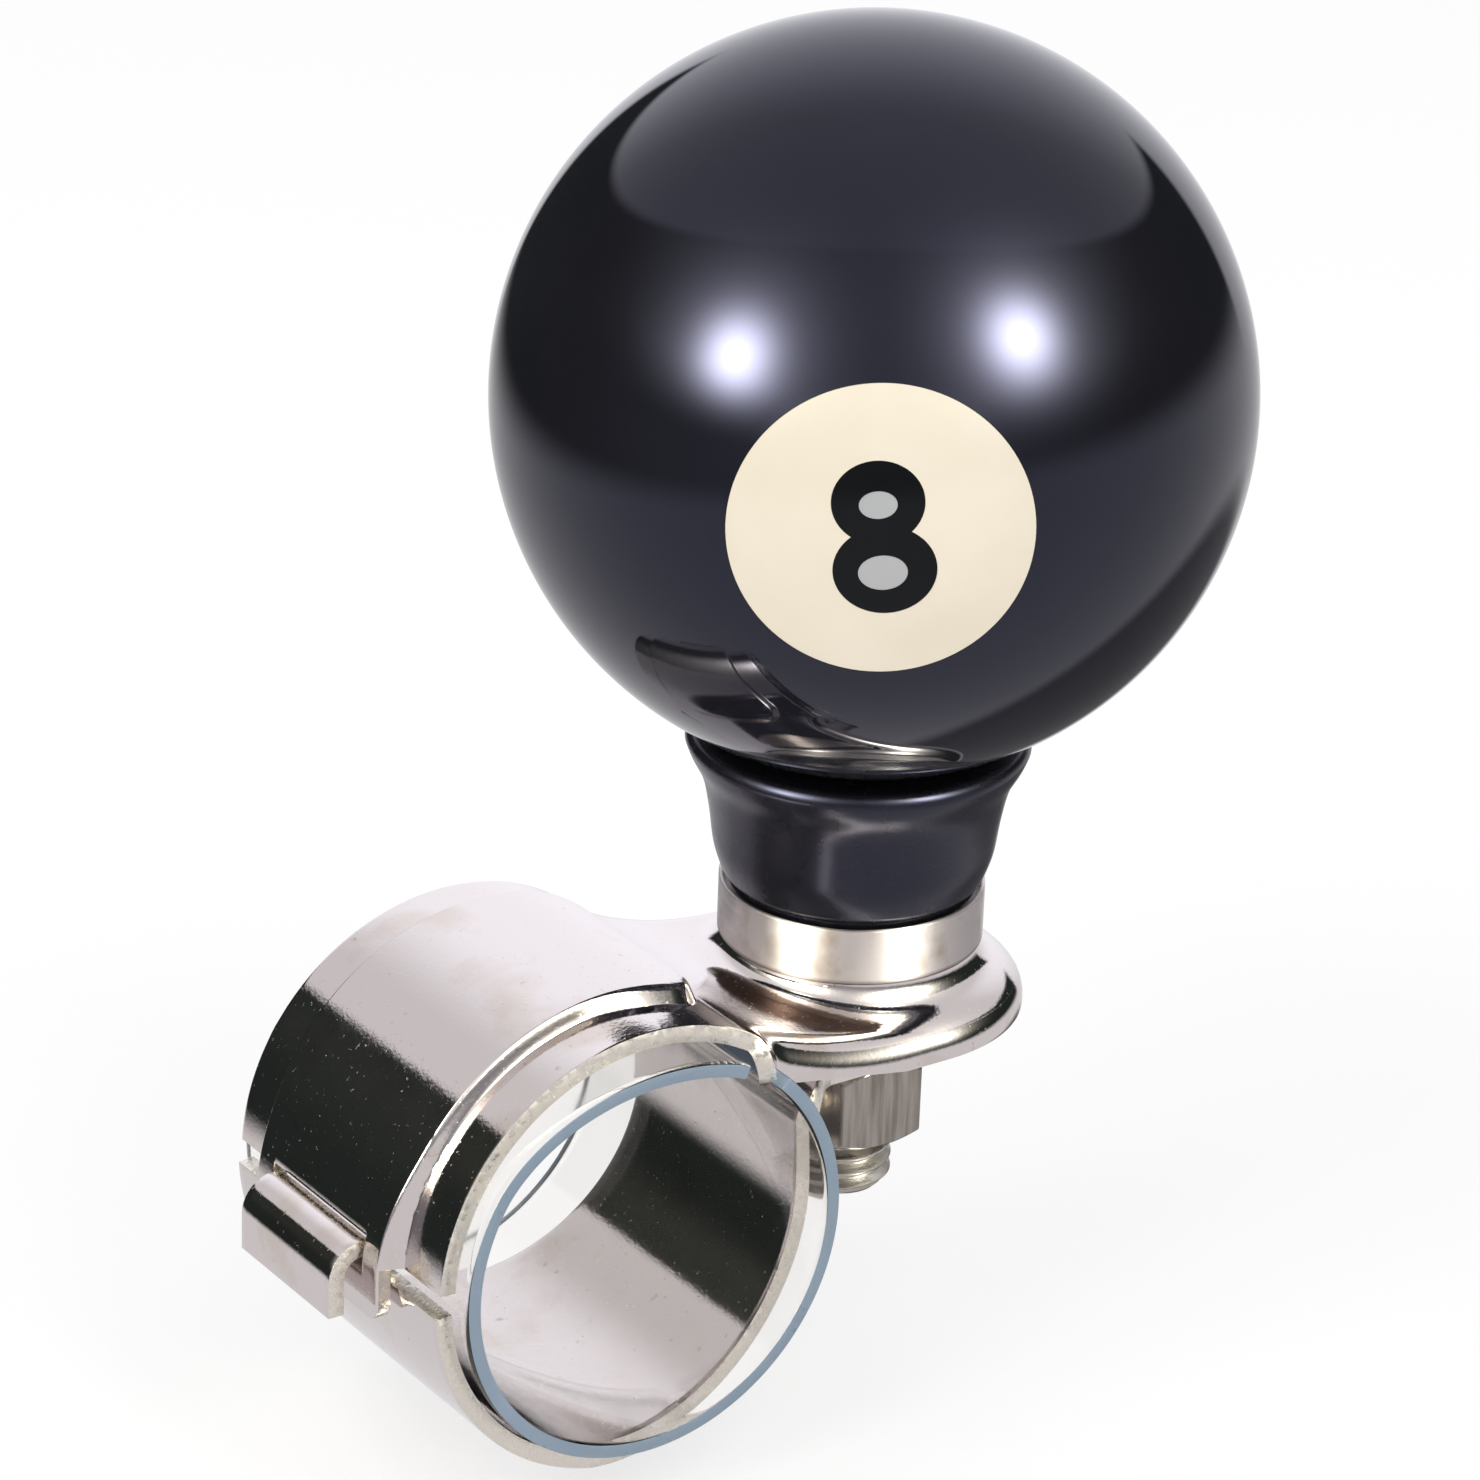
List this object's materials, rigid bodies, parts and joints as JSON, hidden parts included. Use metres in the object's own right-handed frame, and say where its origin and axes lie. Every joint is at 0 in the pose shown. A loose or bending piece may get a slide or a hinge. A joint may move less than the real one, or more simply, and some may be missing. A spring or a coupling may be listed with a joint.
{
  "type": "steering wheel spinner knob",
  "caption": "Black ball knob with inlaid number discs on a flared neck that spins on a bearing, bolted to a hooked sheet-metal clamp with a clear sleeve for a wheel rim.",
  "frame": {"origin": "centre of the rim bore, half way along the sleeve", "axes": "+Y along the rim the clamp grips, +Z parallel to the knob's spin axis towards the ball, +X from the rim bore to the knob's axis"},
  "size_m": [0.0789, 0.0572, 0.1039],
  "materials": {
    "bright_nickel": "bright nickel plate, lightly stained",
    "satin_nickel": "satin nickel-plated hardware",
    "plain_steel": "turned steel",
    "bearing_steel": "ground bearing steel",
    "brass": "turned brass",
    "neck_plastic": "moulded black plastic, polished",
    "ball_resin": "cast phenolic resin, polished black",
    "disc_resin": "cream resin, polished flush",
    "numeral_ink": "black resin inlay, flush",
    "clear_vinyl": "clear flexible vinyl, bluish edge"
  },
  "bodies": {
    "clamp": {"upper_clamp": "bright_nickel", "rim_liner": "clear_vinyl", "bearing_cup": "bright_nickel", "spindle": "plain_steel", "bearing_inner_race": "bearing_steel", "retaining_clip": "plain_steel"},
    "knob": {"neck": "neck_plastic", "neck_stud": "plain_steel", "ball_insert": "brass", "ball": "ball_resin", "front_number_disc": "disc_resin", "rear_number_disc": "disc_resin", "front_numeral": "numeral_ink", "rear_numeral": "numeral_ink", "bearing_outer_race": "bearing_steel", "bearing_lower_shield": "bearing_steel", "bearing_upper_shield": "bearing_steel"},
    "cage": {"bearing_cage": "plain_steel", "bearing_balls": "bearing_steel"},
    "washer": {"lock_washer": "plain_steel"},
    "nut": {"clamp_nut": "satin_nickel"},
    "strap": {"lower_strap": "bright_nickel"}
  },
  "joints": [
    {"name": "knob_spin", "type": "hinge", "parent": "clamp", "child": "knob", "pos_m": [0.028, 0, 0.0208], "axis": [0, 0, 1], "continuous": true},
    {"name": "cage_spin", "type": "hinge", "parent": "clamp", "child": "cage", "pos_m": [0.028, 0, 0.0208], "axis": [0, 0, 1], "continuous": true},
    {"name": "washer_travel", "type": "slide", "parent": "clamp", "child": "washer", "axis": [0, 0, -1], "range_m": [0, 0.0088]},
    {"name": "nut_turn", "type": "hinge", "parent": "washer", "child": "nut", "pos_m": [0.028, 0, 0.0006], "axis": [0, 0, -1], "range_deg": [0, 2540]},
    {"name": "strap_swing", "type": "hinge", "parent": "clamp", "child": "strap", "pos_m": [-0.01954, 0, -0.0005], "axis": [0, 1, 0], "range_deg": [0, 9.3]}
  ],
  "couplings": [
    {"joint": "cage_spin", "follows": "knob_spin", "ratio": 0.6095},
    {"joint": "nut_turn", "follows": "washer_travel", "rad_per_m": 5026.5},
    {"joint": "strap_swing", "follows": "washer_travel", "rad_per_m": 18.349}
  ]
}
